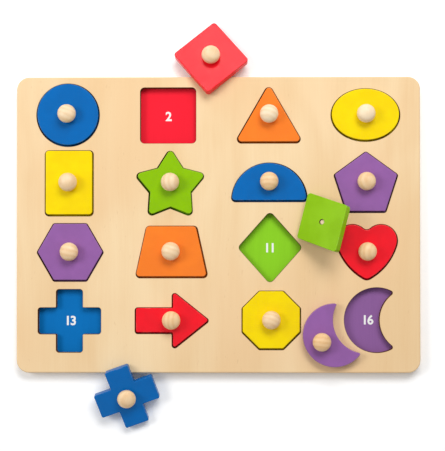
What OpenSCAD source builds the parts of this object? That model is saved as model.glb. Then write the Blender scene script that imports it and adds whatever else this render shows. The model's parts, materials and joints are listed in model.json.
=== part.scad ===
// A wooden peg puzzle: a board with sixteen shaped recesses, and a knobbed block for each of them.
// Lengths are millimetres, +Z is up, and the origin is the centre of the board's underside.
// Twelve blocks sit in their recesses. The other four lie loose on the board: the square leans on
// its far edge, the cross on its near edge, the rhombus is tipped over onto its knob, and the
// crescent lies flat between the octagon and its own recess.

/* [Board] */
// Width of the board, left to right
board_w = 300; // [290:2:330]
// Depth of the board, near edge to far edge
board_d = 220; // [218:1:240]
// Radius of the board's four corners
board_corner_r = 9.3; // [4:0.1:14]
// Thickness of the top plate that the recesses are cut through
plate_t = 5; // [4.4:0.2:6]
// Thickness of the backing board that closes the recesses from below
backing_t = 3; // [2:0.2:4]
// Thickness of the coloured floor printed in each recess
print_t = 0.15; // [0.1:0.05:0.3]

/* [Blocks] */
// Thickness of every block
block_t = 6; // [5:0.2:7]
// Gap between a seated block and the wall of its recess, on each side
recess_gap = 0.8; // [0.5:0.1:1.2]
// How far the seated blocks have slid towards the far walls of their recesses, as a share of the gap
seat_slide_share = 0.6; // [0:0.05:0.7]
// Corner radius of the soft-cornered blocks
soft_corner_r = 2.4; // [1:0.1:3.4]
// Corner radius of the crisp-cornered blocks
crisp_corner_r = 1.4; // [0.6:0.1:2.4]
// Radius inside the notches of the star, cross and arrow
notch_r = 0.8; // [0.4:0.1:1.6]

/* [Knobs] */
// Widest diameter of the ball of a knob
knob_d = 13.6; // [12:0.2:15]
// Height of a knob over the face of its block
knob_h = 9.5; // [8.5:0.1:11]
// Height of the widest ring of the ball over the face of the block
knob_belly_h = 4.5; // [4:0.1:5]
// Diameter of the foot that the ball stands on
knob_foot_d = 9.2; // [8:0.2:11]

/* [Dowels] */
// Diameter of the dowel that pins a knob to its block
dowel_d = 4; // [3:0.2:5]
// Depth of the dowel's blind hole in the knob
dowel_hole_h = 6; // [4:0.2:7]
// Distance from the underside of a block up to the end of its dowel
dowel_inset = 1; // [0.6:0.1:2]
// Glue gap around a dowel and over its end
glue_gap = 0.05; // [0.03:0.01:0.1]

/* [Round shapes] */
// Diameter of the circle block
circle_d = 45.4; // [43:0.2:45.8]
// Width of the oval block
oval_w = 49.8; // [47:0.2:52]
// Depth of the oval block
oval_d = 38; // [36:0.2:40]
// Radius of the semicircle block
semicircle_r = 27.6; // [26:0.1:28.5]
// Outer radius of the crescent block
crescent_r = 23.4; // [22.4:0.1:24]
// Radius of the bite that makes the crescent
bite_r = 24.8; // [24:0.1:25.8]
// Distance from the centre of the crescent to the centre of its bite
bite_offset = 26; // [25:0.1:27]
// Radius of the two tips of the crescent
horn_r = 0.9; // [0.6:0.1:1.4]
// Width of the heart block
heart_w = 44.4; // [42:0.2:46]
// Depth of the heart block, from the tops of its lobes to its point
heart_d = 40; // [38.8:0.2:42]
// Radius of the two lobes of the heart
heart_lobe_r = 11.6; // [11:0.1:12.8]
// Radius of the valley between the two lobes of the heart block
heart_valley_r = 4.6; // [2:0.1:6]
// Radius of the long flanks of the heart
heart_flank_r = 42; // [38:1:60]
// Radius of the point of the heart
heart_point_r = 4; // [1.6:0.1:5]

/* [Straight shapes] */
// Side of the square block
square_w = 39.9; // [38:0.1:41]
// Base of the triangle block
triangle_w = 49; // [47:0.2:51]
// Height of the triangle block
triangle_d = 42.4; // [41:0.1:44]
// Width of the rectangle block
rectangle_w = 34.6; // [33:0.2:37]
// Depth of the rectangle block
rectangle_d = 47.4; // [45:0.2:48.6]
// Distance from the centre of the star to its sharp tips
star_r = 27.4; // [26:0.1:28.4]
// Distance from the centre of the star to its notches
star_notch_r = 15.8; // [14:0.1:16.6]
// Distance from the centre of the pentagon to its corners
pentagon_r = 24.3; // [23:0.1:25.2]
// Distance from the centre of the hexagon to its corners
hexagon_r = 24.1; // [23:0.1:24.8]
// Width of the octagon across its flats
octagon_w = 42.3; // [41:0.1:44.4]
// Long side of the trapezoid
trapezoid_base_w = 52.8; // [50:0.2:54]
// Short side of the trapezoid
trapezoid_top_w = 36.4; // [34:0.2:40]
// Depth of the trapezoid
trapezoid_d = 37.2; // [35:0.2:38.6]
// Short diagonal of the rhombus, side to side
rhombus_w = 46; // [44:0.2:47.4]
// Long diagonal of the rhombus, near to far
rhombus_d = 51.8; // [50:0.2:53.4]
// Width and depth of the cross
cross_w = 45.4; // [43:0.2:46.2]
// Width of the arms of the cross
cross_arm_w = 18.2; // [16:0.2:20]
// Width of the arrow's shaft
arrow_shaft_w = 18; // [16:0.2:19.4]
// Length of the arrow's shaft
arrow_shaft_l = 27.5; // [25:0.2:29]
// Width of the arrow's head between its sharp corners
arrow_head_w = 42.2; // [40:0.2:44]
// Length of the arrow's head to its sharp tip
arrow_head_l = 26.4; // [25:0.2:27.4]

/* [Loose blocks] */
// Distance from the board's far edge to the centre of the leaning square, along its underside
square_overhang = 13.2; // [9:0.2:16]
// Turn of the leaning square
square_turn = 40.35; // [20:0.05:70]
// Gap between the board's near edge and the side arm of the leaning cross
cross_gap = 0.5; // [0.2:0.1:2]
// Turn of the leaning cross
cross_turn = 19.5; // [5:0.1:28]
// Direction of the rhombus's resting edge
rhombus_edge_angle = 75.8; // [70:0.1:80]
// Direction in which the loose crescent opens
crescent_turn = 25.6; // [10:0.1:35]
// Gap between the loose crescent and the octagon beside it
crescent_gap = 2.1; // [0.3:0.1:2.4]
// Gap between the tipped rhombus and the semicircle beside it
rhombus_gap = 0.3; // [0.2:0.1:1.5]
// Gap under a block that leans or lies on the board
rest_gap = 0.1; // [0.05:0.05:0.3]

/* [Hidden] */
SHAPES = [
  "circle", "square", "triangle", "oval",
  "rectangle", "star", "semicircle", "pentagon",
  "hexagon", "trapezoid", "rhombus", "heart",
  "cross", "arrow", "octagon", "crescent"
];
// Centre of each recess as shares of the board's width and depth, in the order of SHAPES
place_shares = [
  [-0.3723, 0.371], [-0.1238, 0.3696], [0.1255, 0.3693], [0.3646, 0.3697],
  [-0.3693, 0.1404], [-0.1188, 0.1404], [0.1271, 0.1428], [0.3656, 0.1424],
  [-0.3668, -0.0935], [-0.1151, -0.0921], [0.1285, -0.0773], [0.3676, -0.0932],
  [-0.3686, -0.3245], [-0.1151, -0.324], [0.1316, -0.323], [0.3713, -0.322]
];
// How far each seated block has slid to the right in its recess, as shares of the gap
sideways_shares = [
  -0.1, 0, 0.25, 0,
  -0.2, 0.4, -0.3, 0,
  0.1, -0.4, 0, 0,
  0, 0.1, -0.1, 0
];
COLOURS = ["blue", "red", "orange", "yellow", "green", "purple"];
colour_values = ["#0363AC", "#E71A25", "#F07B30", "#F8D40C", "#83BD05", "#905DA6"];
// Colour of each block and of the floor of its recess, in the order of SHAPES
block_colours = [
  "blue", "red", "orange", "yellow",
  "yellow", "green", "blue", "purple",
  "purple", "orange", "green", "red",
  "blue", "red", "yellow", "purple"
];
plate_colour = "#F0D2A2";
backing_colour = "#D9B98A";
knob_colour = "#EDD3A4";
dowel_colour = "#DCC08E";

board_top = backing_t + plate_t;
floor_z = backing_t + print_t;
// How far each cut runs past the face that it opens
overrun = plate_t / 5;
// How far a printed floor stays from the wall of its recess
print_margin = print_t / 3;
// Places of the two leaning blocks, the loose crescent and the rhombus along their edges, as shares
square_lean_share = -0.017;
cross_lean_share = -0.2135;
crescent_drop_share = -0.264;
rhombus_slip_share = 0.735;
// Place of the crescent's knob across its thickest part, from the outside in
crescent_knob_share = 0.51;
// Angles between neighbouring points of a wide round stretch and of a small rounded corner
arc_step = 3.75;
corner_step = 10;
// Radius above which an arc counts as a wide one
wide_r = block_t;
// Faces around a knob, a dowel and a dowel's hole, and rings up the ball of a knob
round_faces = 64;
knob_rings = 24;
// Steepest tilt that the tipped rhombus could have, and halvings of the search for its real one
steepest_tilt = 80;
tilt_halvings = 30;

function unit(v) = v / norm(v);
function direction(a) = [cos(a), sin(a)];
function heading(v) = atan2(v.y, v.x);
function turned(v, a) = [v.x * cos(a) - v.y * sin(a), v.x * sin(a) + v.y * cos(a)];
function side_of(a, b) = a.x * b.y - a.y * b.x > 0 ? 1 : -1;
function number_of(word, list) = [for (i = [0 : len(list) - 1]) if (list[i] == word) i][0];

// Points of an arc from one angle to another, clockwise where the second is the smaller
function arc(centre, r, from, to) =
  let (steps = max(2, ceil(abs(to - from) / (r > wide_r ? arc_step : corner_step))))
  [for (i = [0 : steps]) centre + r * direction(from + (to - from) * i / steps)];

// The corner q between p and s, rounded: outward corners by r, inward ones by notch
function round_corner(p, q, s, r, notch) =
  let (
    u = unit(p - q),
    v = unit(s - q),
    half = acos(u * v) / 2,
    side = side_of(q - p, s - q),
    radius = side > 0 ? r : notch,
    centre = q + unit(u + v) * radius / sin(half),
    from = heading(q + u * radius / tan(half) - centre)
  )
  arc(centre, radius, from, from + side * (180 - 2 * half));

function rounded(points, r, notch) =
  let (n = len(points))
  [for (i = [0 : n - 1])
    each round_corner(points[(i + n - 1) % n], points[i], points[(i + 1) % n], r, notch)];

// A sharp-cornered outline with every side moved outwards by gap
function grown(points, gap) =
  let (n = len(points))
  [for (i = [0 : n - 1])
    let (
      a = turned(unit(points[i] - points[(i + n - 1) % n]), -90),
      b = turned(unit(points[(i + 1) % n] - points[i]), -90)
    )
    points[i] + gap * (a + b) / (1 + a * b)];

// The upper meeting point of two circles whose centres lie on a level line, the first on the left
function meeting(c1, r1, c2, r2) =
  let (
    apart = norm(c2 - c1),
    along = (r1 * r1 - r2 * r2 + apart * apart) / (2 * apart),
    axis = unit(c2 - c1)
  )
  c1 + along * axis + sqrt(r1 * r1 - along * along) * turned(axis, 90);

function regular(sides, r, first) = [for (i = [0 : sides - 1]) r * direction(first + 360 * i / sides)];
function box(w, d) = [[-w, -d], [w, -d], [w, d], [-w, d]] / 2;
function ellipse(a, b) = [for (t = [0 : arc_step : 360 - arc_step]) [a * cos(t), b * sin(t)]];

triangle_points = [[-triangle_w / 2, 0], [triangle_w / 2, 0], [0, triangle_d]];
star_points = [for (i = [0 : 9]) (i % 2 == 0 ? star_r : star_notch_r) * direction(90 + 36 * i)];
trapezoid_points = [
  [-trapezoid_base_w / 2, 0], [trapezoid_base_w / 2, 0],
  [trapezoid_top_w / 2, trapezoid_d], [-trapezoid_top_w / 2, trapezoid_d]
];
rhombus_points = [[rhombus_w / 2, 0], [0, rhombus_d / 2], [-rhombus_w / 2, 0], [0, -rhombus_d / 2]];
cross_points = [for (i = [0 : 3]) each [
  turned([cross_arm_w / 2, -cross_arm_w / 2], 90 * i),
  turned([cross_w / 2, -cross_arm_w / 2], 90 * i),
  turned([cross_w / 2, cross_arm_w / 2], 90 * i)
]];
arrow_points = [
  [0, -arrow_shaft_w / 2], [arrow_shaft_l, -arrow_shaft_w / 2], [arrow_shaft_l, -arrow_head_w / 2],
  [arrow_shaft_l + arrow_head_l, 0],
  [arrow_shaft_l, arrow_head_w / 2], [arrow_shaft_l, arrow_shaft_w / 2], [0, arrow_shaft_w / 2]
];

// A half disc on its flat side, with its two corners rounded
function semicircle_outline(gap) =
  let (
    r = soft_corner_r,
    corner_x = sqrt(pow(semicircle_r - r, 2) - r * r),
    lean = asin(r / (semicircle_r - r))
  )
  concat(
    arc([corner_x, r], r + gap, -90, lean),
    arc([0, 0], semicircle_r + gap, lean, 180 - lean),
    arc([-corner_x, r], r + gap, 180 - lean, 270)
  );

// Two lobes that meet in a round valley, two long flanks and a rounded point
function heart_outline(gap) =
  let (
    valley_r = heart_valley_r - gap,
    lobe = [heart_w / 2 - heart_lobe_r, heart_d - heart_lobe_r],
    point = [0, heart_point_r],
    flank = meeting(point, heart_flank_r - heart_point_r, lobe, heart_flank_r - heart_lobe_r),
    valley = [0, lobe.y + sqrt(pow(heart_lobe_r + heart_valley_r, 2) - lobe.x * lobe.x)],
    right = concat(
      arc(point, heart_point_r + gap, -90, heading(point - flank)),
      arc(flank, heart_flank_r + gap, heading(point - flank), heading(lobe - flank)),
      arc(lobe, heart_lobe_r + gap, heading(lobe - flank), heading(valley - lobe)),
      arc(valley, valley_r, heading(lobe - valley), -90)
    ),
    n = len(right)
  )
  concat(right, [for (i = [n - 2 : -1 : 1]) [-right[i].x, right[i].y]]);

// A disc with a round bite out of its right side, and rounded horns
function crescent_outline(gap) =
  let (
    bite = [bite_offset, 0],
    up = meeting([0, 0], crescent_r - horn_r, bite, bite_r + horn_r),
    down = [up.x, -up.y]
  )
  concat(
    arc([0, 0], crescent_r + gap, heading(up), 360 - heading(up)),
    arc(down, horn_r + gap, heading(down), heading(bite - down)),
    arc(bite, bite_r - gap, 360 + heading(down - bite), heading(up - bite)),
    arc(up, horn_r + gap, heading(bite - up), heading(up))
  );

function raw_outline(s, gap) =
  let (soft = soft_corner_r + gap, crisp = crisp_corner_r + gap)
  s == "circle" ? ellipse(circle_d / 2 + gap, circle_d / 2 + gap) :
  s == "square" ? rounded(grown(box(square_w, square_w), gap), soft, notch_r) :
  s == "triangle" ? rounded(grown(triangle_points, gap), soft, notch_r) :
  s == "oval" ? ellipse(oval_w / 2 + gap, oval_d / 2 + gap) :
  s == "rectangle" ? rounded(grown(box(rectangle_w, rectangle_d), gap), soft, notch_r) :
  s == "star" ? rounded(grown(star_points, gap), soft, notch_r) :
  s == "semicircle" ? semicircle_outline(gap) :
  s == "pentagon" ? rounded(grown(regular(5, pentagon_r, 90), gap), crisp, notch_r) :
  s == "hexagon" ? rounded(grown(regular(6, hexagon_r, 0), gap), crisp, notch_r) :
  s == "trapezoid" ? rounded(grown(trapezoid_points, gap), soft, notch_r) :
  s == "rhombus" ? rounded(grown(rhombus_points, gap), soft, notch_r) :
  s == "heart" ? heart_outline(gap) :
  s == "cross" ? rounded(grown(cross_points, gap), crisp, notch_r) :
  s == "arrow" ? rounded(grown(arrow_points, gap), crisp, notch_r) :
  s == "octagon" ? rounded(grown(regular(8, octagon_w / 2 / cos(22.5), 22.5), gap), crisp, notch_r) :
  crescent_outline(gap);

// How far a list of points reaches in a direction
function reach(points, towards) = max([for (p = points) p * towards]);

// The middle of a block's bounding box, which is the reference point of every shape
function middle(s) =
  let (p = raw_outline(s, 0))
  [reach(p, [1, 0]) - reach(p, [-1, 0]), reach(p, [0, 1]) - reach(p, [0, -1])] / 2;
function outline(s, gap) = let (m = middle(s)) [for (p = raw_outline(s, gap)) p - m];

// A knob stands at the middle of its block, but the crescent's stands on its thickest part
crescent_thickness = crescent_r + bite_offset - bite_r;
function knob_place(s) =
  s == "crescent" ? [crescent_thickness * crescent_knob_share - crescent_r, 0] - middle(s) : [0, 0];

function recess_place(s) =
  let (share = place_shares[number_of(s, SHAPES)])
  [share.x * board_w, share.y * board_d];
// Where a seated block lies: it has slid a little way in its recess, mostly away from the near edge
function seat_place(s) =
  recess_place(s) + recess_gap * [sideways_shares[number_of(s, SHAPES)], seat_slide_share];
function colour_of(s) = block_colours[number_of(s, SHAPES)];
function colour_value(c) = colour_values[number_of(c, COLOURS)];

// The square leans on a corner of its own, and reaches this far past the board, along its underside
square_reach = square_overhang + reach([for (p = outline("square", 0)) turned(p, square_turn)], [0, 1]);
square_tilt = asin(board_top / square_reach);

// The cross leans along one of its arms. From its centre to where that arm crosses the board's near
// edge, along its underside: its side arm stays clear of the board by the gap.
function cross_overhang(tilt) =
  cross_arm_w / 2
  + ((cross_w - cross_arm_w) / 2 * sin(cross_turn) + cross_gap) / (cos(cross_turn) * cos(tilt));
function cross_lean(overhang) = asin(board_top / (overhang + cross_w / 2));
cross_reach = cross_overhang(cross_lean(cross_overhang(0)));
cross_tilt = cross_lean(cross_reach);

// The rhombus rests on one side of its face and on its knob, so its tilt follows from the knob.
knob_r = knob_d / 2;
ball_h = knob_h - knob_belly_h;
rhombus_side = norm([rhombus_w, rhombus_d]) / 2;
rhombus_half_w = rhombus_w * rhombus_d / 4 / rhombus_side;

// How high the knob's lowest point hangs over the board when the rhombus is tilted by t
function knob_drop(t) =
  rhombus_half_w * sin(t) - knob_belly_h * cos(t) - norm([ball_h * cos(t), knob_r * sin(t)]);
function tilt_between(low, high, tries) =
  let (mid = (low + high) / 2)
  tries == 0 ? mid :
  knob_drop(mid) < 0 ? tilt_between(mid, high, tries - 1) : tilt_between(low, mid, tries - 1);
rhombus_tilt = tilt_between(0, steepest_tilt, tilt_halvings);

// The rhombus's resting edge passes just clear of the semicircle, so that the semicircle can lift
rhombus_along = direction(rhombus_edge_angle);
rhombus_across = turned(rhombus_along, -90);
rhombus_rest =
  rhombus_across * (
    seat_place("semicircle") * rhombus_across + reach(outline("semicircle", 0), rhombus_across)
    + rhombus_gap + block_t * sin(rhombus_tilt)
  )
  + rhombus_along * (seat_place("semicircle") * rhombus_along - semicircle_r * rhombus_slip_share);

// The crescent lies beside the octagon
crescent_place = seat_place("octagon") + [
  octagon_w / 2 + crescent_gap + crescent_r,
  octagon_w * crescent_drop_share
];

module lying(s) {
  translate([seat_place(s).x, seat_place(s).y, floor_z]) children();
}

module leaning_on_far_edge() {
  translate([board_w * square_lean_share, board_d / 2, board_top + rest_gap])
    rotate([-square_tilt, 0, 0])
      translate([0, square_overhang, 0])
        rotate([0, 0, square_turn])
          children();
}

// The end of the cross's near arm lies on the ground, and the side of its far arm on the board's edge
module leaning_on_near_edge() {
  translate([board_w * cross_lean_share, -board_d / 2, board_top + rest_gap])
    rotate([0, 0, cross_turn])
      rotate([cross_tilt, 0, 0])
        translate([-cross_arm_w / 2, -cross_reach, 0])
          children();
}

module tipped_over() {
  translate([rhombus_rest.x, rhombus_rest.y, board_top + rest_gap])
    rotate([0, 0, rhombus_edge_angle - 90])
      rotate([0, -rhombus_tilt, 0])
        translate([rhombus_half_w, 0, block_t])
          rotate([0, 0, 90 - atan2(rhombus_d, rhombus_w)])
            rotate([180, 0, 0])
              children();
}

module flat_on_board() {
  translate([crescent_place.x, crescent_place.y, board_top + rest_gap])
    rotate([0, 0, crescent_turn])
      translate([middle("crescent").x, middle("crescent").y, 0])
        children();
}

// Takes a block from its own frame, where its underside is on the ground, to where it lies
module placed(s) {
  if (s == "square") leaning_on_far_edge() children();
  else if (s == "cross") leaning_on_near_edge() children();
  else if (s == "rhombus") tipped_over() children();
  else if (s == "crescent") flat_on_board() children();
  else lying(s) children();
}

module board_slab(thickness) {
  linear_extrude(thickness) polygon(rounded(box(board_w, board_d), board_corner_r, notch_r));
}

module top_plate() {
  color(plate_colour)
    translate([0, 0, backing_t])
      difference() {
        board_slab(plate_t);
        for (s = SHAPES)
          translate([recess_place(s).x, recess_place(s).y, -overrun])
            linear_extrude(plate_t + 2 * overrun) polygon(outline(s, recess_gap));
      }
}

module backing_board() {
  color(backing_colour) board_slab(backing_t);
}

// The coloured floors of all the recesses of one colour
module print_layer(c) {
  color(colour_value(c))
    for (s = SHAPES)
      if (colour_of(s) == c)
        translate([recess_place(s).x, recess_place(s).y, backing_t])
          linear_extrude(print_t) polygon(outline(s, recess_gap - print_margin));
}

module block(s) {
  color(colour_value(colour_of(s)))
    placed(s)
      difference() {
        linear_extrude(block_t) polygon(outline(s, 0));
        translate([knob_place(s).x, knob_place(s).y, -overrun])
          cylinder(h = block_t + 2 * overrun, r = dowel_d / 2 + glue_gap, $fn = round_faces);
      }
}

// A ball with a short foot, and a blind hole for the dowel in the foot
module knob(s) {
  foot_r = knob_foot_d / 2;
  foot_angle = acos(foot_r / knob_r);
  profile = concat(
    [[0, 0], [foot_r, 0]],
    [for (i = [0 : knob_rings - 1])
      let (a = -foot_angle + (90 + foot_angle) * i / knob_rings)
      [knob_r * cos(a), knob_belly_h + ball_h * sin(a)]],
    [[0, knob_h]]
  );
  color(knob_colour)
    placed(s)
      translate([knob_place(s).x, knob_place(s).y, block_t])
        difference() {
          rotate_extrude($fn = round_faces) polygon(profile);
          translate([0, 0, -overrun])
            cylinder(h = dowel_hole_h + overrun, r = dowel_d / 2 + glue_gap, $fn = round_faces);
        }
}

module dowel(s) {
  color(dowel_colour)
    placed(s)
      translate([knob_place(s).x, knob_place(s).y, dowel_inset])
        cylinder(h = block_t - dowel_inset + dowel_hole_h - glue_gap, d = dowel_d, $fn = round_faces);
}

top_plate();
backing_board();
for (c = COLOURS) {
  print_layer(c);
}
for (s = SHAPES) {
  block(s);
  knob(s);
  dowel(s);
}
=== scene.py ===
import json
import math

import bmesh
import bpy
from mathutils import Euler, Matrix, Vector
from mathutils.geometry import tessellate_polygon


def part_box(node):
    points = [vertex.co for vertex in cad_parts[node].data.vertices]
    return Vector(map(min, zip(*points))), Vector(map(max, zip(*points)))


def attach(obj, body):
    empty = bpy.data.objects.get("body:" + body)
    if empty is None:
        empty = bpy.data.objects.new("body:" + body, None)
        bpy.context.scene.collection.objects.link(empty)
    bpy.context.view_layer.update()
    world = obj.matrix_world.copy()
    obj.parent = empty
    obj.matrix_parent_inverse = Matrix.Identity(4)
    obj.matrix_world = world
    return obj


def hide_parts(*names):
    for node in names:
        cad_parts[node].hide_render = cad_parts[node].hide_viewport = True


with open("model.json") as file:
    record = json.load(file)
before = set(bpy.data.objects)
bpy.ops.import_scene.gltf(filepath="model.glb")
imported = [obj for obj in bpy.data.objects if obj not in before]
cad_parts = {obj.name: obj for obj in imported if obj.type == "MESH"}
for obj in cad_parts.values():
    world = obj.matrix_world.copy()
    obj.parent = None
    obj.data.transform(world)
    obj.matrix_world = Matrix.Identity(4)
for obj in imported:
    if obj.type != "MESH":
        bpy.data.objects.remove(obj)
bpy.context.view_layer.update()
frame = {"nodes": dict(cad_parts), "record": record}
nodes = frame["nodes"]
slotOf = {part["node"]: part["material_slot"] for part in frame["record"]["subparts"]}
shapes = sorted(name.removesuffix("_block") for name in nodes if name.endswith("_block"))
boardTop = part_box("top_plate")[1].z
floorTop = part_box("print_red")[1].z
mm = 0.001
print("frame loaded,", len(nodes), "nodes")


# Camera

view = {
    "centre": (3.28, -0.58),    # mm, the point of the board's face in the middle of the picture
    "pictureHeight": 335.0,     # mm of the board's face from the bottom of the picture to its top
    "distance": 720,            # mm from the board's face
    "pitch": 0.44,              # degrees away from straight down
    "yaw": 0.56,
    "roll": -0.02,
    "shift": (-0.044, 0.08),    # how far the picture lies off the lens's axis, in picture heights
    "sensor": 24,               # mm, the height of the sensor
    "nearest": 10,              # mm, where the camera begins to see
}


def addCamera(faceHeight):
    data = bpy.data.cameras.new("camera")
    data.sensor_fit = "VERTICAL"
    data.sensor_height = view["sensor"]
    data.lens = view["sensor"] * view["distance"] / view["pictureHeight"]
    data.shift_x, data.shift_y = view["shift"]
    data.clip_start = view["nearest"] * mm
    turn = Euler([math.radians(view[name]) for name in ("pitch", "yaw", "roll")])
    acrossPicture = view["shift"][0] * view["pictureHeight"]
    upPicture = view["shift"][1] * view["pictureHeight"]
    toCentre = turn.to_matrix() @ Vector((acrossPicture, upPicture, -view["distance"]))
    camera = bpy.data.objects.new("camera", data)
    camera.location = Vector((*view["centre"], faceHeight / mm)) * mm - toCentre * mm
    camera.rotation_euler = turn
    bpy.context.scene.collection.objects.link(camera)
    bpy.context.scene.camera = camera


addCamera(boardTop)
print("camera placed")


# Short ways to write nodes

def put(tree, kind, settings=None, feeds=None):
    # a new node, with its settings, and a value or another node's socket for each of its inputs
    node = tree.nodes.new(kind)
    for name, value in (settings or {}).items():
        setattr(node, name, value)
    for name, value in (feeds or {}).items():
        if isinstance(value, bpy.types.NodeSocket):
            tree.links.new(value, node.inputs[name])
        else:
            node.inputs[name].default_value = value
    return node


def math1(tree, operation, a):
    return put(tree, "ShaderNodeMath", {"operation": operation}, {0: a}).outputs[0]


def math2(tree, operation, a, b, clamp=False):
    return put(tree, "ShaderNodeMath", {"operation": operation, "use_clamp": clamp}, {0: a, 1: b}).outputs[0]


def vector2(tree, operation, a, b):
    return put(tree, "ShaderNodeVectorMath", {"operation": operation}, {0: a, 1: b}).outputs[0]


def joined(tree, **parts):
    return put(tree, "ShaderNodeCombineXYZ", None, parts).outputs[0]


def blended(tree, a, b, weight):
    # weight of a and the rest of b
    return math2(tree, "ADD", math2(tree, "MULTIPLY", a, weight), math2(tree, "MULTIPLY", b, 1 - weight))


def ramp(tree, value, low, high, limits=(0.0, 1.0)):
    # from low to high while the value goes through the limits
    return put(tree, "ShaderNodeMapRange", None, {
        "Value": value, "From Min": limits[0], "From Max": limits[1],
        "To Min": low, "To Max": high}).outputs[0]


def span(tree, value, limits, low=0.0, high=1.0):
    # the same, eased in and out
    return put(tree, "ShaderNodeMapRange", {"interpolation_type": "SMOOTHSTEP"}, {
        "Value": value, "From Min": limits[0], "From Max": limits[1],
        "To Min": low, "To Max": high}).outputs[0]


def noise(tree, vector, perMetre, detail=2.0, roughness=0.5, distortion=0.0):
    return put(tree, "ShaderNodeTexNoise", None, {
        "Vector": vector, "Scale": perMetre, "Detail": detail,
        "Roughness": roughness, "Distortion": distortion}).outputs["Fac"]


def mixed(tree, factor, a, b, blend="MIX"):
    node = put(tree, "ShaderNodeMix", {"data_type": "RGBA", "blend_type": blend}, {0: factor, 6: a, 7: b})
    return node.outputs[2]


def colour(red, green, blue):
    # a screen colour, 0 to 255, as the shader's linear values
    parts = [c / 255 for c in (red, green, blue)]
    return (*[c / 12.92 if c < 0.04045 else ((c + 0.055) / 1.055) ** 2.4 for c in parts], 1)


# Light, floor and world

studio = {
    "world": 0.37,              # the light from all around
    "worldSeen": 1.0,           # the same where it is seen
    "key": {"towards": (17, 50), "distance": 1.1, "size": (0.8, 0.42), "power": 7.25},
    "side": {"towards": (-76, 44), "distance": 1.2, "size": (0.5, 0.4), "power": 4.3},
    "floorHalf": 4,             # metres from the middle of the floor to its edge
    "floorSquares": 4,          # along each side of it
    "floorTone": 0.97,
    "floorSeen": 1.2,           # the floor's tone where it is seen, which makes the paper white
    "floorFar": 2.6,            # the same far out, where less of the lamps' light falls
    "floorReach": (0.3, 1.6),   # metres from the middle, where the change begins and ends
}


def addSoftbox(name, values):
    # towards is the compass direction in degrees from +Y to +X, then the height in degrees
    compass, height = (math.radians(angle) for angle in values["towards"])
    level = math.cos(height)
    outwards = Vector((math.sin(compass) * level, math.cos(compass) * level, math.sin(height)))
    data = bpy.data.lights.new(name, "AREA")
    data.shape = "RECTANGLE"
    data.size, data.size_y = values["size"]
    data.energy = values["power"]
    softbox = bpy.data.objects.new(name, data)
    softbox.location = outwards * values["distance"]
    softbox.rotation_euler = outwards.to_track_quat("Z", "Y").to_euler()
    bpy.context.scene.collection.objects.link(softbox)


def seenDirectly(tree):
    # 1 where the camera sees a thing, also by way of a reflection or through something clear
    path = put(tree, "ShaderNodeLightPath").outputs
    mirrored = math2(tree, "ADD", path["Is Glossy Ray"], path["Is Transmission Ray"])
    return math2(tree, "ADD", path["Is Camera Ray"], mirrored, True)


def addWorld():
    world = bpy.data.worlds.new("studio")
    bpy.context.scene.world = world
    world.use_nodes = True
    tree = world.node_tree
    tree.nodes.clear()
    strength = ramp(tree, seenDirectly(tree), studio["world"], studio["worldSeen"])
    light = put(tree, "ShaderNodeBackground", None, {"Color": (1, 1, 1, 1), "Strength": strength})
    put(tree, "ShaderNodeOutputWorld", None, {"Surface": light.outputs[0]})


def addFloor():
    mesh = bpy.data.meshes.new("floor")
    bm = bmesh.new()
    squares = studio["floorSquares"]
    bmesh.ops.create_grid(bm, x_segments=squares, y_segments=squares, size=studio["floorHalf"])
    bm.to_mesh(mesh)
    bm.free()
    floor = bpy.data.objects.new("floor", mesh)
    bpy.context.scene.collection.objects.link(floor)
    material = bpy.data.materials.new("palePaper")
    material.use_nodes = True
    tree = material.node_tree
    tree.nodes.clear()
    where = put(tree, "ShaderNodeTexCoord").outputs["Object"]
    away = put(tree, "ShaderNodeVectorMath", {"operation": "LENGTH"}, {0: where}).outputs["Value"]
    whiter = ramp(tree, away, studio["floorSeen"], studio["floorFar"], studio["floorReach"])
    tone = ramp(tree, seenDirectly(tree), studio["floorTone"], whiter)
    paper = put(tree, "ShaderNodeBsdfDiffuse", None, {"Color": tone})
    put(tree, "ShaderNodeOutputMaterial", None, {"Surface": paper.outputs[0]})
    mesh.materials.append(material)


addWorld()
addFloor()
addSoftbox("keySoftbox", studio["key"])
addSoftbox("sideSoftbox", studio["side"])
bpy.context.scene.view_settings.view_transform = "Standard"
print("studio set")


# Shared effects for the materials

def newGroup(name, inputs, outputs):
    tree = bpy.data.node_groups.new(name, "ShaderNodeTree")
    for socketName, kind, value in inputs:
        socket = tree.interface.new_socket(name=socketName, in_out="INPUT", socket_type=kind)
        if value is not None:
            socket.default_value = value
    for socketName in outputs:
        tree.interface.new_socket(name=socketName, in_out="OUTPUT", socket_type="NodeSocketFloat")
    return tree, tree.nodes.new("NodeGroupInput").outputs, tree.nodes.new("NodeGroupOutput").inputs


grain = {
    "sways": 9.0,                   # how often to a metre the fibres wander
    "swayBy": 12 * mm,
    "fibreDetail": 5.0,
    "fibreRoughness": 0.6,
    "fibreWeight": 0.45,            # the fibres' part in the tone, the broad streaks having the rest
    "streaks": 0.12,                # broad streaks to each fibre
    "streakDetail": 3.0,
    "streakRoughness": 0.55,
    "figureStretch": 0.35,
    "figureBend": 0.6,
    "specks": 1.1,                  # dark specks to each fibre
    "speckStretch": 0.22,
    "speckRoughness": 0.4,
    "speckLimits": (0.69, 0.77),
    "speckDepth": 0.4,
    "patches": 35.0,                # the specks come in patches, so many to a metre
    "patchLimits": (0.48, 0.66),
}


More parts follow.
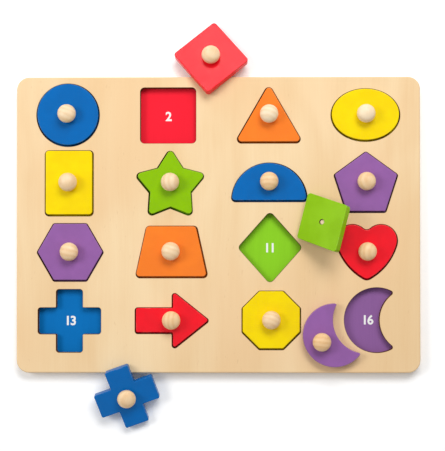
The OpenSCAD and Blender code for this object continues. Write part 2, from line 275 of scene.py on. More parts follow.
def makeWoodGroup():
    # grain along Y of the vector that goes in, which is in metres
    tree, given, out = newGroup("woodGrain", [
        ("Vector", "NodeSocketVector", None),
        ("Fibres Per Metre", "NodeSocketFloat", 900.0),
        ("Stretch", "NodeSocketFloat", 0.05),
        ("Figure Per Metre", "NodeSocketFloat", 22.0),
    ], ["Tone", "Figure", "Flecks", "Relief"])
    where, fibreRate = given["Vector"], given["Fibres Per Metre"]
    along = vector2(tree, "MULTIPLY", where, joined(tree, X=1.0, Y=given["Stretch"], Z=1.0))
    sway = math2(tree, "MULTIPLY", noise(tree, where, grain["sways"], 1.0), grain["swayBy"])
    along = vector2(tree, "ADD", along, joined(tree, X=sway))
    fibres = noise(tree, along, fibreRate, grain["fibreDetail"], grain["fibreRoughness"])
    streakRate = math2(tree, "MULTIPLY", fibreRate, grain["streaks"])
    streaks = noise(tree, along, streakRate, grain["streakDetail"], grain["streakRoughness"])
    tone = blended(tree, fibres, streaks, grain["fibreWeight"])
    stretched = vector2(tree, "MULTIPLY", where, (1.0, grain["figureStretch"], 1.0))
    figure = noise(tree, stretched, given["Figure Per Metre"], distortion=grain["figureBend"])
    short = vector2(tree, "MULTIPLY", where, (1.0, grain["speckStretch"], 1.0))
    speckRate = math2(tree, "MULTIPLY", fibreRate, grain["specks"])
    specks = span(tree, noise(tree, short, speckRate, 1.0, grain["speckRoughness"]), grain["speckLimits"])
    patches = span(tree, noise(tree, where, grain["patches"], 1.0), grain["patchLimits"])
    flecks = math2(tree, "MULTIPLY", specks, patches)
    hollows = math2(tree, "MULTIPLY", flecks, grain["speckDepth"])
    tree.links.new(tone, out["Tone"])
    tree.links.new(figure, out["Figure"])
    tree.links.new(flecks, out["Flecks"])
    tree.links.new(math2(tree, "SUBTRACT", tone, hollows), out["Relief"])
    return tree


plywood = {
    "waverBy": 0.12 * mm,           # how far the veneers stray from level
    "crossLimits": (0.47, 0.53),    # where one veneer ends and the crossed one begins, in pairs of veneers
    "plainLimits": (0.97, 1.0),     # and where that one ends
    "glueLimits": (0.02, 0.09),     # how thick a glue line is, in veneers
}


def makePlyGroup():
    # which veneer a height falls in, and the dark glue lines between veneers
    tree, given, out = newGroup("plyLayers", [
        ("Height", "NodeSocketFloat", 0.0),
        ("Waver", "NodeSocketFloat", 0.0),
        ("Veneer", "NodeSocketFloat", 1 * mm),
    ], ["Crossed", "Glue"])
    wavy = math2(tree, "ADD", given["Height"], math2(tree, "MULTIPLY", given["Waver"], plywood["waverBy"]))
    count = math2(tree, "DIVIDE", wavy, given["Veneer"])
    part = math1(tree, "FRACT", math2(tree, "MULTIPLY", count, 0.5))
    crossed = math2(
        tree, "MULTIPLY",
        span(tree, part, plywood["crossLimits"]), span(tree, part, plywood["plainLimits"], 1.0, 0.0))
    fromSeam = math2(tree, "PINGPONG", count, 0.5)
    tree.links.new(crossed, out["Crossed"])
    tree.links.new(span(tree, fromSeam, plywood["glueLimits"], 1.0, 0.0), out["Glue"])
    return tree


coat = {
    "mottles": 60.0,                # to a metre, as are the peel, the fibres and the rubs
    "peel": 900.0,
    "fibres": 700.0,
    "fibreStretch": 0.06,
    "rubs": 260.0,
    "rubLimits": (0.45, 0.7),
    "roughness": 0.6,               # of the mottles and the fibres
    "rubRoughness": 0.65,
    "peelWeight": 0.5,
}


def makePaintGroup():
    # a thin sprayed coat over sanded wood
    tree, given, out = newGroup("paintCoat", [
        ("Vector", "NodeSocketVector", None),
        ("Edge", "NodeSocketFloat", 0.0),
    ], ["Mottle", "Wear", "Relief"])
    where = given["Vector"]
    mottle = noise(tree, where, coat["mottles"], 3.0, coat["roughness"])
    peel = noise(tree, where, coat["peel"])
    along = vector2(tree, "MULTIPLY", where, (1.0, coat["fibreStretch"], 1.0))
    fibres = noise(tree, along, coat["fibres"], 3.0, coat["roughness"])
    rubbed = span(tree, noise(tree, where, coat["rubs"], 3.0, coat["rubRoughness"]), coat["rubLimits"])
    tree.links.new(mottle, out["Mottle"])
    tree.links.new(math2(tree, "MULTIPLY", rubbed, given["Edge"]), out["Wear"])
    tree.links.new(blended(tree, peel, fibres, coat["peelWeight"]), out["Relief"])
    return tree


woodGrain = makeWoodGroup()
plyLayers = makePlyGroup()
paintCoat = makePaintGroup()


def startMaterial(name):
    material = bpy.data.materials.new(name)
    material.use_nodes = True
    tree = material.node_tree
    tree.nodes.clear()
    where = put(tree, "ShaderNodeTexCoord").outputs["Object"]
    return material, tree, where


def useGroup(tree, group, feeds):
    return put(tree, "ShaderNodeGroup", {"node_tree": group}, feeds).outputs


def useGrain(tree, vector, look, figures):
    return useGroup(tree, woodGrain, {
        "Vector": vector, "Fibres Per Metre": look["fibres"],
        "Stretch": look["fibreStretch"], "Figure Per Metre": figures})


def attribute(tree, name, output="Fac"):
    return put(tree, "ShaderNodeAttribute", {"attribute_name": name}).outputs[output]


def finishMaterial(tree, look, base, roughness, relief=None):
    feeds = {"Base Color": base, "Roughness": roughness, "Specular IOR Level": look["specular"]}
    if relief is not None:
        feeds["Normal"] = put(tree, "ShaderNodeBump", None, {
            "Height": relief, "Strength": look["relief"], "Distance": look["reliefDepth"]}).outputs[0]
    surface = put(tree, "ShaderNodeBsdfPrincipled", None, feeds)
    put(tree, "ShaderNodeOutputMaterial", None, {"Surface": surface.outputs[0]})


# Wood

midLimits = (0.3, 0.7)              # where most of a noise's values lie
poreLimits = (0.35, 0.65)

birch = {
    "pale": colour(251, 223, 179),
    "deep": colour(238, 201, 151),
    "blush": colour(245, 207, 159),
    "fleck": colour(205, 165, 118),
    "burn": colour(120, 62, 30),
    "fibres": 750.0,                # to a metre, as are the figures and the blushes
    "fibreStretch": 0.035,
    "streakLimits": (0.25, 0.75),
    "streakWeight": 0.38,           # the streaks' part in the tone, the clouds having the rest
    "blushes": 14.0,
    "blushStretch": 0.5,
    "blushLimits": (0.45, 0.7),
    "blushDepth": 0.5,
    "fleckDepth": 0.22,
    "roughness": (0.44, 0.58),
    "specular": 0.22,
    "relief": 0.25,
    "reliefDepth": 0.2 * mm,
    "face": {"name": "birchFace", "figures": 22.0, "contrast": 1.0},
    "back": {"name": "birchBack", "figures": 16.0, "contrast": 1.5},
}


def makeBirch(side):
    material, tree, where = startMaterial(side["name"])
    wood = useGrain(tree, where, birch, side["figures"])
    streak = span(tree, wood["Tone"], birch["streakLimits"], 0.0, side["contrast"])
    cloud = span(tree, wood["Figure"], midLimits)
    base = mixed(tree, blended(tree, streak, cloud, birch["streakWeight"]), birch["pale"], birch["deep"])
    along = vector2(tree, "MULTIPLY", where, (1.0, birch["blushStretch"], 1.0))
    blush = span(tree, noise(tree, along, birch["blushes"]), birch["blushLimits"], 0.0, birch["blushDepth"])
    base = mixed(tree, blush, base, birch["blush"])
    base = mixed(tree, math2(tree, "MULTIPLY", wood["Flecks"], birch["fleckDepth"]), base, birch["fleck"])
    base = mixed(tree, attribute(tree, "burn"), base, birch["burn"])
    roughness = span(tree, wood["Tone"], midLimits, *birch["roughness"])
    finishMaterial(tree, birch, base, roughness, wood["Relief"])
    return material


edge = {
    "veneer": 1 * mm,
    "wavers": 60.0,                 # to a metre, as are the ends and the runs
    "ends": 2600.0,
    "endStretch": 0.6,
    "endRoughness": 0.7,
    "runs": 2200.0,
    "runStretch": 0.05,
    "runRoughness": 0.6,
    "fineDepth": 0.25,
    "glueDepth": 0.7,
    "specular": 0.12,
    "relief": 0.35,
    "reliefDepth": 0.2 * mm,
    "cut": {
        "name": "plyEdge", "roughness": 0.62,
        "light": colour(243, 214, 170), "dark": colour(214, 174, 124), "glue": colour(150, 104, 62),
    },
    "burnt": {
        "name": "burntWall", "roughness": 0.78,
        "light": colour(122, 72, 42), "dark": colour(78, 40, 24), "glue": colour(40, 20, 14),
    },
}


def makePlyEdge(look):
    material, tree, where = startMaterial(look["name"])
    height = put(tree, "ShaderNodeSeparateXYZ", None, {"Vector": where}).outputs["Z"]
    layers = useGroup(tree, plyLayers, {
        "Height": height, "Waver": noise(tree, where, edge["wavers"]), "Veneer": edge["veneer"]})
    acrossFibres = vector2(tree, "MULTIPLY", where, (1.0, 1.0, edge["endStretch"]))
    ends = noise(tree, acrossFibres, edge["ends"], 3.0, edge["endRoughness"])
    alongFibres = vector2(tree, "MULTIPLY", where, (edge["runStretch"], edge["runStretch"], 1.0))
    runs = noise(tree, alongFibres, edge["runs"], 4.0, edge["runRoughness"])
    base = mixed(tree, layers["Crossed"], look["light"], look["dark"])
    fine = mixed(tree, layers["Crossed"], runs, ends)
    base = mixed(tree, edge["fineDepth"], base, fine, "OVERLAY")
    base = mixed(tree, math2(tree, "MULTIPLY", layers["Glue"], edge["glueDepth"]), base, look["glue"])
    relief = math2(tree, "SUBTRACT", ends, layers["Glue"])
    finishMaterial(tree, edge, base, look["roughness"], relief)
    return material


beech = {
    "pale": colour(253, 231, 197),
    "deep": colour(240, 208, 164),
    "tanPale": colour(247, 208, 158),
    "tanDeep": colour(230, 182, 126),
    "fleck": colour(214, 172, 122),
    "fibres": 1100.0,               # to a metre, as are the figures
    "fibreStretch": 0.12,
    "figures": 70.0,
    "rings": 90.0,                  # the scale of the wave that draws them
    "ringBend": 3.0,
    "ringDetail": 2.0,
    "ringDetailScale": 0.6,
    "toneWeight": 0.6,
    "ringWeight": 0.2,
    "figureWeight": 0.3,
    "blendLimits": (0.37, 0.83),
    "fleckDepth": 0.6,
    "roughness": (0.37, 0.52),
    "specular": 0.4,
    "relief": 0.22,
    "reliefDepth": 0.1 * mm,
}


def makeTurnedBeech():
    # the knob's own place in its tree, so that the grain turns with a tilted knob
    material, tree, where = startMaterial("turnedBeech")
    own = attribute(tree, "ownPlace", "Vector")
    wood = useGrain(tree, own, beech, beech["figures"])
    rings = put(tree, "ShaderNodeTexWave", {"wave_type": "BANDS", "bands_direction": "X"}, {
        "Vector": own, "Scale": beech["rings"], "Distortion": beech["ringBend"],
        "Detail": beech["ringDetail"], "Detail Scale": beech["ringDetailScale"]}).outputs["Fac"]
    blend = math2(tree, "MULTIPLY", wood["Tone"], beech["toneWeight"])
    blend = math2(tree, "ADD", blend, math2(tree, "MULTIPLY", rings, beech["ringWeight"]))
    blend = math2(tree, "ADD", blend, math2(tree, "MULTIPLY", wood["Figure"], beech["figureWeight"]))
    tan = attribute(tree, "tan")
    pale = mixed(tree, tan, beech["pale"], beech["tanPale"])
    deep = mixed(tree, tan, beech["deep"], beech["tanDeep"])
    base = mixed(tree, span(tree, blend, beech["blendLimits"]), pale, deep)
    base = mixed(tree, math2(tree, "MULTIPLY", wood["Flecks"], beech["fleckDepth"]), base, beech["fleck"])
    roughness = span(tree, wood["Tone"], midLimits, *beech["roughness"])
    finishMaterial(tree, beech, base, roughness, wood["Relief"])
    return material


cutEnd = {
    "pale": colour(246, 228, 192),
    "deep": colour(224, 196, 150),
    "cloud": colour(250, 236, 204),
    "pores": 2600.0,                # to a metre
    "poreRoughness": 0.7,
    "clouds": 300.0,
    "cloudDepth": 0.4,
    "roughness": 0.8,
    "specular": 0.2,
    "relief": 0.4,
    "reliefDepth": 0.1 * mm,
}
# the wall of each block's dowel hole, coloured dark as painted shade for the shadow inside the hole
shadedHoleWall = {
    "pale": colour(128, 92, 52),    # painted shade: dark, standing for the shadow inside the dowel's hole
    "deep": colour(84, 58, 34),
    "pores": 2200.0,
    "poreRoughness": 0.7,
    "roughness": 0.85,
    "specular": 0.1,
    "relief": 0.4,
    "reliefDepth": 0.1 * mm,
}


def makePorous(name, look):
    material, tree, where = startMaterial(name)
    pores = noise(tree, where, look["pores"], 3.0, look["poreRoughness"])
    base = mixed(tree, span(tree, pores, poreLimits), look["pale"], look["deep"])
    if "clouds" in look:
        cloud = math2(tree, "MULTIPLY", noise(tree, where, look["clouds"]), look["cloudDepth"])
        base = mixed(tree, cloud, base, look["cloud"])
    finishMaterial(tree, look, base, look["roughness"], pores)
    return material


birchFace = makeBirch(birch["face"])
birchBack = makeBirch(birch["back"])
plyEdge = makePlyEdge(edge["cut"])
burntWall = makePlyEdge(edge["burnt"])
turnedBeech = makeTurnedBeech()
cutBeech = makePorous("cutBeech", cutEnd)
shadedHoleWood = makePorous("shadedHoleWall", shadedHoleWall)


# Paint and print

paint = {
    "colours": {
        "blue": colour(0, 104, 182),
        "red": colour(248, 26, 42),
        "orange": colour(255, 131, 42),
        "yellow": colour(255, 221, 2),
        "green": colour(140, 194, 0),
        "purple": colour(150, 98, 166),
    },
    "mottle": (0.95, 1.05),         # how far the coat goes darker and lighter
    "bare": colour(236, 206, 160),  # the wood that shows through where the coat is worn
    "bareShare": 0.28,
    "wearDepth": 0.5,
    "roughness": (0.14, 0.25),
    "specular": 0.14,
    "relief": 0.08,
    "reliefDepth": 0.1 * mm,
}
printed = {
    "colours": {
        "blue": colour(0, 114, 190),
        "red": colour(255, 32, 54),
        "orange": colour(252, 132, 40),
        "yellow": colour(254, 222, 16),
        "green": colour(142, 212, 38),
        "purple": colour(146, 99, 160),
    },
    "mottle": (1.03, 0.95),
    "fibres": 900.0,                # to a metre
    "fibreStretch": 0.05,
    "figures": 30.0,
    "roughness": 0.62,
    "specular": 0.1,
    "relief": 0.15,
    "reliefDepth": 0.1 * mm,
}
ink = {
    "pale": colour(250, 250, 248),
    "mottle": (1.0, 0.93),
    "screen": 2400.0,               # to a metre
    "roughness": 0.6,
    "specular": 0.3,
}


def shaded(linear, by):
    return (*[max(0.0, min(1.0, c * by)) for c in linear[:3]], 1)


def mottled(tree, value, tone, look):
    ends = [shaded(tone, by) for by in look["mottle"]]
    return mixed(tree, span(tree, value, midLimits), *ends)


def makePaint(name, tone):
    material, tree, where = startMaterial(name)
    layer = useGroup(tree, paintCoat, {"Vector": where, "Edge": attribute(tree, "edge")})
    bare = paint["bareShare"]
    worn = tuple((1 - bare) * c + bare * w for c, w in zip(tone, paint["bare"]))
    base = mottled(tree, layer["Mottle"], tone, paint)
    base = mixed(tree, math2(tree, "MULTIPLY", layer["Wear"], paint["wearDepth"]), base, worn)
    roughness = span(tree, layer["Mottle"], midLimits, *paint["roughness"])
    finishMaterial(tree, paint, base, roughness, layer["Relief"])
    return material


def makePrint(name, tone):
    material, tree, where = startMaterial(name)
    wood = useGrain(tree, where, printed, printed["figures"])
    base = mottled(tree, wood["Tone"], tone, printed)
    finishMaterial(tree, printed, base, printed["roughness"], wood["Relief"])
    return material


def makeInk():
    material, tree, where = startMaterial("whiteInk")
    base = mottled(tree, noise(tree, where, ink["screen"]), ink["pale"], ink)
    finishMaterial(tree, ink, base, ink["roughness"])
    return material


paints = {name: makePaint("paint_" + name, tone) for name, tone in paint["colours"].items()}
prints = {name: makePrint("print_" + name, tone) for name, tone in printed["colours"].items()}
whiteInk = makeInk()
print("materials made")


# Reading a flat piece's outline from the frame

reading = {
    "mergeWithin": 0.001 * mm,      # corners nearer than this are one corner
    "sameWay": 0.9995,              # how well a face must look the same way as the slab's upper face
}


def mergedCopy(mesh):
    bm = bmesh.new()
    bm.from_mesh(mesh)
    bmesh.ops.remove_doubles(bm, verts=bm.verts, dist=reading["mergeWithin"])
    bm.normal_update()
    return bm


def faceOutlines(bm, normal):
    # closed loops of points around the face that looks along normal, with the face on their left
    flat = {face for face in bm.faces if face.normal.dot(normal) > reading["sameWay"]}
    following = {}
    for face in flat:
        for corner in face.loops:
            others = [f for f in corner.edge.link_faces if f is not face]
            if not others or others[0] not in flat:
                following[corner.vert] = corner.link_loop_next.vert
    outlines = []
    while following:
        first, point = next(iter(following.items()))
        outline = [first.co.copy()]
        following.pop(first)
        while point is not first:
            outline.append(point.co.copy())
            point = following.pop(point)
        outlines.append(outline)
    return outlines


def signedArea(outline):
    return sum(a.x * b.y - a.y * b.x for a, b in zip(outline, outline[1:] + outline[:1])) / 2


def average(points):
    return sum(points, Vector((0, 0, 0))) / len(points)


def readSlab(name, knobName=None):
    # a flat piece's own place, with +Z out of its upper face, and its outlines on that face
    bm = mergedCopy(nodes[name].data)
    up = Vector((0, 0, 1))
    if knobName:
        up = max(bm.faces, key=lambda face: face.calc_area()).normal.copy()
        lowCorner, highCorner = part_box(knobName)
        if ((lowCorner + highCorner) / 2 - average([v.co for v in bm.verts])).dot(up) < 0:
            up.negate()
    across = (Vector((1, 0, 0)) - up * up.x).normalized()
    turn = Matrix((across, up.cross(across), up)).transposed()
    heights = [v.co.dot(up) for v in bm.verts]
    outlines = [[turn.transposed() @ p for p in outline] for outline in faceOutlines(bm, up)]
    bm.free()
    outlines.sort(key=signedArea, reverse=True)
    centre = Vector((0, 0, min(heights)))
    holeRadius = 0.0
    if knobName:                                   # the dowel's hole is the only inner outline
        hole = outlines[-1]
        centre += average([p.xy.to_3d() for p in hole])
        holeRadius = max((p.xy - centre.xy).length for p in hole)
    return {
        "outlines": [[p.xy - centre.xy for p in outline] for outline in outlines],
        "place": turn.to_4x4() @ Matrix.Translation(centre),
        "thickness": max(heights) - min(heights),
        "holeRadius": holeRadius,
    }


# Building a flat piece with rounded edges on those outlines

rounding = {
    "steps": 5,
    "flatRing": 0.08 * mm,          # a narrow ring beside each rounding keeps the flat faces flat in shading
    "leastFace": 1e-8 * mm * mm,    # twice the area of the smallest face that is made
}


def edgeRings(bottomRound, topRound, thickness, halo):
    # (inset, height, wear) from the middle of the lower face, out, up and in again
    steps, flat = rounding["steps"], rounding["flatRing"]
    angles = [math.pi / 2 * i / steps for i in range(steps + 1)]
    rings = [(bottomRound + flat, 0, 0)]
    for angle in angles:
        inset, height = bottomRound * (1 - math.sin(angle)), bottomRound * (1 - math.cos(angle))
        rings.append((inset, height, math.sin(2 * angle)))
    rings.append((0, bottomRound + flat, 0))
    rings.append((0, thickness - topRound - flat, 0))
    for angle in angles:
        inset, height = topRound * (1 - math.cos(angle)), thickness - topRound * (1 - math.sin(angle))
        rings.append((inset, height, math.sin(2 * angle)))
    rings.append((topRound + flat, thickness, 0))
    if halo:
        rings.append((topRound + halo, thickness, 0))
    return rings


def mitres(outline):
    # how each point moves for an inset of one, towards the material on its left
    count = len(outline)
    moves = []
    for i, p in enumerate(outline):
        before = (p - outline[i - 1]).normalized()
        after = (outline[(i + 1) % count] - p).normalized()
        a, b = Vector((-before.y, before.x)), Vector((-after.y, after.x))
        moves.append((a + b) / (1 + a.dot(b)))
    return moves


def fillFace(bm, rings, sign):
    # the flat face inside the rings, looking up or down
    points = [vert for ring in rings for vert in ring]
    for corners in tessellate_polygon([[vert.co.xy.to_3d() for vert in ring] for ring in rings]):
        a, b, c = (points[i] for i in corners)
        area = (b.co - a.co).xy.cross((c.co - a.co).xy)
        if abs(area) > rounding["leastFace"]:
            face = bm.faces.new((a, b, c) if area * sign > 0 else (a, c, b))
            face.smooth = True


def buildSlab(name, slab, edges, materials, markName):
    # edges: one dictionary for each outline, with its roundings, its wall's material and its marks
    mesh = bpy.data.meshes.new(name)
    bm = bmesh.new()
    mark = bm.verts.layers.float.new(markName)
    firstWall = rounding["steps"] + 2
    lowest, highest = [], []
    for outline, look in zip(slab["outlines"], edges):
        halo = look.get("halo", 0)
        # the wall's finish reaches two strips up the top rounding, or right over it beside a halo
        lastWall = firstWall + 1 + (rounding["steps"] if halo else 2)
        moves = mitres(outline)
        previous = None
        rings = edgeRings(look["bottom"], look["top"], slab["thickness"], halo)
        for number, (inset, height, wear) in enumerate(rings):
            ring = [bm.verts.new((*(p + move * inset), height)) for p, move in zip(outline, moves)]
            for vert in ring:
                vert[mark] = wear * look.get("edgeMark", 0)
                if halo and number == len(rings) - 2:
                    vert[mark] = look["faceMark"]
            if previous:
                for i in range(len(ring)):
                    j = (i + 1) % len(ring)
                    face = bm.faces.new((previous[i], previous[j], ring[j], ring[i]))
                    face.material_index = look["wall"] if firstWall <= number <= lastWall else 0
                    face.smooth = True
            else:
                lowest.append(ring)
            previous = ring
        highest.append(previous)
    fillFace(bm, lowest, -1)
    fillFace(bm, highest, 1)
    bm.to_mesh(mesh)
    bm.free()
    for material in materials:
        mesh.materials.append(material)
    mesh.transform(slab["place"])
    piece = bpy.data.objects.new(name, mesh)
    bpy.context.scene.collection.objects.link(piece)
    return piece


def standFor(piece, node, body):
    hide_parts(node)
    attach(piece, body)


# The board

board = {
    "faceRound": 1.0 * mm,          # rounding around the top of the board
    "footRound": 0.8 * mm,          # rounding around the bottom of the board
    "seamRound": 0.12 * mm,         # where the plate meets the backing
    "rimRound": 0.22 * mm,          # rounding around each recess
    "rimHalo": 0.35 * mm,           # toasted wood around each recess
    "rimBurn": 0.75,                # how toasted the rounding is
    "haloBurn": 0.12,               # and the face beside it
}


def addBoard():
    slab = readSlab("top_plate")
    outer = {"bottom": board["seamRound"], "top": board["faceRound"], "wall": 1}
    inner = {
        "bottom": board["seamRound"], "top": board["rimRound"], "wall": 2,
        "halo": board["rimHalo"], "edgeMark": board["rimBurn"], "faceMark": board["haloBurn"],
    }
    edges = [outer] + [inner] * (len(slab["outlines"]) - 1)
    plate = buildSlab("facePlate", slab, edges, [birchFace, plyEdge, burntWall], "burn")
    standFor(plate, "top_plate", "board")
    backEdge = {"bottom": board["footRound"], "top": board["seamRound"], "wall": 1}
    back = buildSlab("backPanel", readSlab("backing_board"), [backEdge], [birchBack, plyEdge], "burn")
    standFor(back, "backing_board", "board")
    return slab


plateSlab = addBoard()
print("board built")


# The blocks

block = {
    "topRound": 0.55 * mm,
    "bottomRound": 0.4 * mm,
    "holeRound": 0.12 * mm,
    "edgeWear": 1.0,                # how much of the coat's wear shows on the edges
    "holeWear": 0.6,
}


def addBlock(shape):
    name = shape + "_block"
    slab = readSlab(name, shape + "_knob")
    coatColour = slotOf[name].removeprefix("paint_")
    outer = {
        "bottom": block["bottomRound"], "top": block["topRound"], "wall": 0, "edgeMark": block["edgeWear"]}
    # the hole's wall takes the painted shade of the dark hole-wall material
    hole = {
        "bottom": block["holeRound"], "top": block["holeRound"], "wall": 1, "edgeMark": block["holeWear"]}
    piece = buildSlab(shape + "Block", slab, [outer, hole], [paints[coatColour], shadedHoleWood], "edge")
    standFor(piece, name, shape + "_piece")
    return slab


slabs = {shape: addBlock(shape) for shape in shapes}
print("blocks built,", len(slabs))


# Knobs and dowels, each grown by a tree of its own

def newShapeTree(name, sizes):
    tree = bpy.data.node_groups.new(name, "GeometryNodeTree")
    tree.is_modifier = True
    tree.interface.new_socket(name="Geometry", in_out="OUTPUT", socket_type="NodeSocketGeometry")
    for socketName, kind, value in sizes:
        socket = tree.interface.new_socket(name=socketName, in_out="INPUT", socket_type=kind)
        if value is not None:
            socket.default_value = value
    return tree, tree.nodes.new("NodeGroupInput").outputs


def endShapeTree(tree, geometry, material):
    real = put(tree, "GeometryNodeRealizeInstances", None, {"Geometry": geometry}).outputs[0]
    dressed = put(tree, "GeometryNodeSetMaterial", None, {"Geometry": real, "Material": material}).outputs[0]
    tree.links.new(dressed, tree.nodes.new("NodeGroupOutput").inputs[0])


def setPlaces(tree, geometry, place, radius, height):
    # each point goes to a radius and a height, and stays in its direction around the axis
    flat = vector2(tree, "MULTIPLY", place, (1.0, 1.0, 0.0))
    around = put(tree, "ShaderNodeVectorMath", {"operation": "NORMALIZE"}, {0: flat}).outputs[0]
    out = put(tree, "ShaderNodeVectorMath", {"operation": "SCALE"}, {0: around, "Scale": radius}).outputs[0]
    spot = vector2(tree, "ADD", out, joined(tree, Z=height))
    return put(tree, "GeometryNodeSetPosition", None, {"Geometry": geometry, "Position": spot}).outputs[0]


def keep(tree, geometry, name, kind, value):
    return put(tree, "GeometryNodeStoreNamedAttribute", {"data_type": kind, "domain": "POINT"}, {
        "Geometry": geometry, "Name": name, "Value": value}).outputs[0]


knob = {
    "sides": 56,
    "rings": 26,
    "crown": math.radians(88.5),    # how far up the ball its last ring is
    "foot": -0.499,                 # below this level of the blank, the ring is the foot's
    "holeSides": 32,
    "sharp": 40,                    # degrees, above which an edge stays sharp
    "grainTurn": (0.9, 0.71, 2.4),  # how far each next knob's grain is turned, in radians
    "grainStart": (0, 0.37, 0),
    "grainMost": (1.6, 1.3, 3.1),   # after which the turn begins again
}
knobTan = {
    # how tan each knob is, from 0, the palest, to 1
    "triangle": 0.0, "oval": 0.05, "circle": 0.3, "star": 0.35,
    "rectangle": 0.4, "trapezoid": 0.5, "square": 0.5, "rhombus": 0.5,
    "cross": 0.6, "hexagon": 0.6, "pentagon": 0.65, "octagon": 0.65,
    "semicircle": 0.9, "arrow": 0.95, "heart": 0.95, "crescent": 1.0,
}


def makeKnobTree():
    tree, given = newShapeTree("turnedKnob", [
        ("Ball Diameter", "NodeSocketFloat", 13.6 * mm),
        ("Height", "NodeSocketFloat", 9.5 * mm),
        ("Belly Height", "NodeSocketFloat", 4.5 * mm),
        ("Foot Diameter", "NodeSocketFloat", 9.2 * mm),
        ("Hole Diameter", "NodeSocketFloat", 4.1 * mm),
        ("Hole Depth", "NodeSocketFloat", 6 * mm),
        ("Grain Turn", "NodeSocketVector", None),
        ("Tan", "NodeSocketFloat", 0.5),
        ("Material", "NodeSocketMaterial", None),
    ])
    blank = put(tree, "GeometryNodeMeshCylinder", None, {
        "Vertices": knob["sides"], "Side Segments": knob["rings"],
        "Radius": 1.0, "Depth": 1.0}).outputs["Mesh"]
    place = put(tree, "GeometryNodeInputPosition").outputs[0]
    level = put(tree, "ShaderNodeSeparateXYZ", None, {0: place}).outputs["Z"]
    ballRadius = math2(tree, "DIVIDE", given["Ball Diameter"], 2.0)
    footShare = math2(tree, "DIVIDE", given["Foot Diameter"], given["Ball Diameter"])
    lowAngle = math2(tree, "MULTIPLY", math1(tree, "ARCCOSINE", footShare), -1.0)
    angle = ramp(tree, level, lowAngle, knob["crown"], (-0.5, 0.5))
    radius = math2(tree, "MULTIPLY", ballRadius, math1(tree, "COSINE", angle))
    upper = math2(tree, "SUBTRACT", given["Height"], given["Belly Height"])
    rise = math2(tree, "MULTIPLY", upper, math1(tree, "SINE", angle))
    height = math2(tree, "ADD", given["Belly Height"], rise)
    aboveFoot = math2(tree, "GREATER_THAN", level, knob["foot"])    # the foot's ring lies on the block
    height = math2(tree, "MULTIPLY", height, aboveFoot)
    ball = setPlaces(tree, blank, place, radius, height)
    drill = put(tree, "GeometryNodeMeshCylinder", None, {
        "Vertices": knob["holeSides"],
        "Radius": math2(tree, "DIVIDE", given["Hole Diameter"], 2.0),
        "Depth": math2(tree, "MULTIPLY", given["Hole Depth"], 2.0)}).outputs["Mesh"]
    drilled = put(tree, "GeometryNodeMeshBoolean", {"operation": "DIFFERENCE", "solver": "EXACT"}, {
        "Mesh 1": ball, "Mesh 2": drill}).outputs[0]
    turned = put(tree, "ShaderNodeVectorRotate", {"rotation_type": "EULER_XYZ"}, {
        "Vector": put(tree, "GeometryNodeInputPosition").outputs[0],
        "Rotation": given["Grain Turn"]}).outputs[0]
    own = vector2(tree, "ADD", turned, given["Grain Turn"])
    marked = keep(tree, drilled, "ownPlace", "FLOAT_VECTOR", own)
    endShapeTree(tree, keep(tree, marked, "tan", "FLOAT", given["Tan"]), given["Material"])
    return tree


dowel = {
    "sides": 60,
    "rings": 8,
    "straight": 0.75,               # the level of the blank's ring where the chamfer begins
    "end": 0.9,                     # above this level of the blank, a ring is the end's
    "sharp": 25,                    # degrees, above which an edge stays sharp
}


def makeDowelTree():
    tree, given = newShapeTree("flutedDowel", [
        ("Diameter", "NodeSocketFloat", 4 * mm),
        ("Length", "NodeSocketFloat", 11 * mm),
        ("Chamfer", "NodeSocketFloat", 0.4 * mm),
        ("Flutes", "NodeSocketFloat", 10.0),
        ("Flute Depth", "NodeSocketFloat", 0.18 * mm),
        ("Material", "NodeSocketMaterial", None),
    ])
    blank = put(tree, "GeometryNodeMeshCylinder", None, {
        "Vertices": dowel["sides"], "Side Segments": dowel["rings"],
        "Radius": 1.0, "Depth": 2.0}).outputs["Mesh"]
    place = put(tree, "GeometryNodeInputPosition").outputs[0]
    parts = put(tree, "ShaderNodeSeparateXYZ", None, {0: place}).outputs
    level = math1(tree, "ABSOLUTE", parts["Z"])
    half = math2(tree, "DIVIDE", given["Length"], 2.0)
    straight = math2(tree, "SUBTRACT", half, given["Chamfer"])
    onEnd = math2(tree, "GREATER_THAN", level, dowel["end"])
    chamfer = math2(tree, "MULTIPLY", onEnd, given["Chamfer"])
    share = math2(tree, "MINIMUM", math2(tree, "DIVIDE", level, dowel["straight"]), 1.0)
    height = math2(tree, "ADD", math2(tree, "MULTIPLY", share, straight), chamfer)
    height = math2(tree, "ADD", math2(tree, "MULTIPLY", height, math1(tree, "SIGN", parts["Z"])), half)
    turn = math2(tree, "ARCTAN2", parts["Y"], parts["X"])
    wave = math1(tree, "COSINE", math2(tree, "MULTIPLY", turn, given["Flutes"]))
    groove = math2(tree, "MULTIPLY", math2(tree, "MAXIMUM", wave, 0.0), given["Flute Depth"])
    radius = math2(tree, "SUBTRACT", math2(tree, "DIVIDE", given["Diameter"], 2.0), groove)
    radius = math2(tree, "SUBTRACT", radius, chamfer)
    endShapeTree(tree, setPlaces(tree, blank, place, radius, height), given["Material"])
    return tree


def growPiece(name, tree, values, place, sharpAngle):
    piece = bpy.data.objects.new(name, bpy.data.meshes.new(name + "Start"))
    bpy.context.scene.collection.objects.link(piece)
    modifier = piece.modifiers.new("shape", "NODES")
    modifier.node_group = tree
    for item in tree.interface.items_tree:
        if item.in_out == "INPUT" and item.name in values:
            modifier[item.identifier] = values[item.name]
    bpy.context.view_layer.update()
    graph = bpy.context.evaluated_depsgraph_get()
    mesh = bpy.data.meshes.new_from_object(piece.evaluated_get(graph))
    piece.modifiers.clear()
    mesh.transform(place)
    mesh.shade_smooth()
    mesh.set_sharp_from_angle(angle=math.radians(sharpAngle))
    piece.data = mesh
    return piece


def measureRound(name, place):
    # (radius, height) of each point of a round node, about the axis of its block
    own = place.inverted()
    points = [own @ v.co for v in nodes[name].data.vertices]
    return [(p.xy.length, p.z) for p in points]


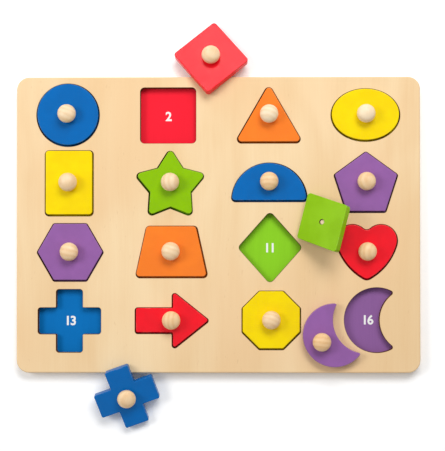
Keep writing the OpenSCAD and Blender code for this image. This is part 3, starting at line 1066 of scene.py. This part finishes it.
def addKnob(shape, number, tree):
    slab = slabs[shape]
    face = slab["place"] @ Matrix.Translation((0, 0, slab["thickness"]))
    points = measureRound(shape + "_knob", face)
    near = rounding["flatRing"] / 8
    turns = zip(knob["grainStart"], knob["grainTurn"], knob["grainMost"])
    values = {
        "Ball Diameter": max(points)[0] * 2,
        "Height": max(z for r, z in points),
        "Belly Height": max(points)[1],
        "Foot Diameter": 2 * max(r for r, z in points if z < rounding["flatRing"]),
        "Hole Diameter": slab["holeRadius"] * 2,
        "Hole Depth": max(z for r, z in points if abs(r - slab["holeRadius"]) < near),
        "Grain Turn": [start + by * number % most for start, by, most in turns],
        "Tan": knobTan[shape],
        "Material": turnedBeech,
    }
    piece = growPiece(shape + "Knob", tree, values, face, knob["sharp"])
    standFor(piece, shape + "_knob", shape + "_piece")


def addDowel(shape, tree):
    slab = slabs[shape]
    points = measureRound(shape + "_dowel", slab["place"])
    low, high = min(z for r, z in points), max(z for r, z in points)
    values = {"Diameter": 2 * max(points)[0], "Length": high - low, "Material": cutBeech}
    place = slab["place"] @ Matrix.Translation((0, 0, low))
    piece = growPiece(shape + "Dowel", tree, values, place, dowel["sharp"])
    standFor(piece, shape + "_dowel", shape + "_piece")


knobTree = makeKnobTree()
dowelTree = makeDowelTree()
for number, shape in enumerate(shapes):
    addKnob(shape, number, knobTree)
    addDowel(shape, dowelTree)
print("knobs and dowels grown")


# The printed floors, with a plain number in each recess

marks = {
    "height": 6.6 * mm,
    "capShare": 0.7,                # a numeral's height as a share of the text's size
    "bolder": 0.26 * mm,            # how far the strokes are widened on each side
    "spacing": 0.88,
    "curveSteps": 4,                # more steps would make the widened outlines cross themselves
    "thickness": 0.02 * mm,
    "drop": 0.4 * mm,               # how far the numbers stand below the middles of the recesses
    "columns": 4,
}
for node in nodes:
    if node.startswith("print_"):
        for slot in nodes[node].material_slots:
            slot.material = prints[node.removeprefix("print_")]


def recessCentres():
    # from the upper left, along each row
    centres = []
    for outline in plateSlab["outlines"][1:]:
        xs, ys = [p.x for p in outline], [p.y for p in outline]
        centres.append(Vector(((min(xs) + max(xs)) / 2, (min(ys) + max(ys)) / 2)))
    centres.sort(key=lambda c: -c.y)
    rows = [centres[i:i + marks["columns"]] for i in range(0, len(centres), marks["columns"])]
    return [centre for row in rows for centre in sorted(row, key=lambda c: c.x)]


def numberMesh(number, centre):
    text = bpy.data.curves.new("number", "FONT")
    text.body = str(number)
    text.align_x, text.align_y = "CENTER", "CENTER"
    text.size = marks["height"] / marks["capShare"]
    text.extrude = marks["thickness"]
    text.offset = marks["bolder"]
    text.space_character = marks["spacing"]
    text.resolution_u = marks["curveSteps"]
    holder = bpy.data.objects.new("number", text)
    bpy.context.scene.collection.objects.link(holder)
    bpy.context.view_layer.update()
    graph = bpy.context.evaluated_depsgraph_get()
    mesh = bpy.data.meshes.new_from_object(holder.evaluated_get(graph))
    mesh.transform(Matrix.Translation((centre.x, centre.y - marks["drop"], floorTop)))
    bpy.data.objects.remove(holder)
    return mesh


def addNumbers():
    bm = bmesh.new()
    for number, centre in enumerate(recessCentres(), 1):
        bm.from_mesh(numberMesh(number, centre))
    bmesh.ops.remove_doubles(bm, verts=bm.verts, dist=reading["mergeWithin"])
    bmesh.ops.dissolve_degenerate(bm, edges=bm.edges, dist=reading["mergeWithin"])
    bmesh.ops.recalc_face_normals(bm, faces=bm.faces)
    mesh = bpy.data.meshes.new("recessNumbers")
    bm.to_mesh(mesh)
    bm.free()
    mesh.materials.append(whiteInk)
    numbers = bpy.data.objects.new("recessNumbers", mesh)
    bpy.context.scene.collection.objects.link(numbers)
    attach(numbers, "board")


addNumbers()
print("numbers printed")
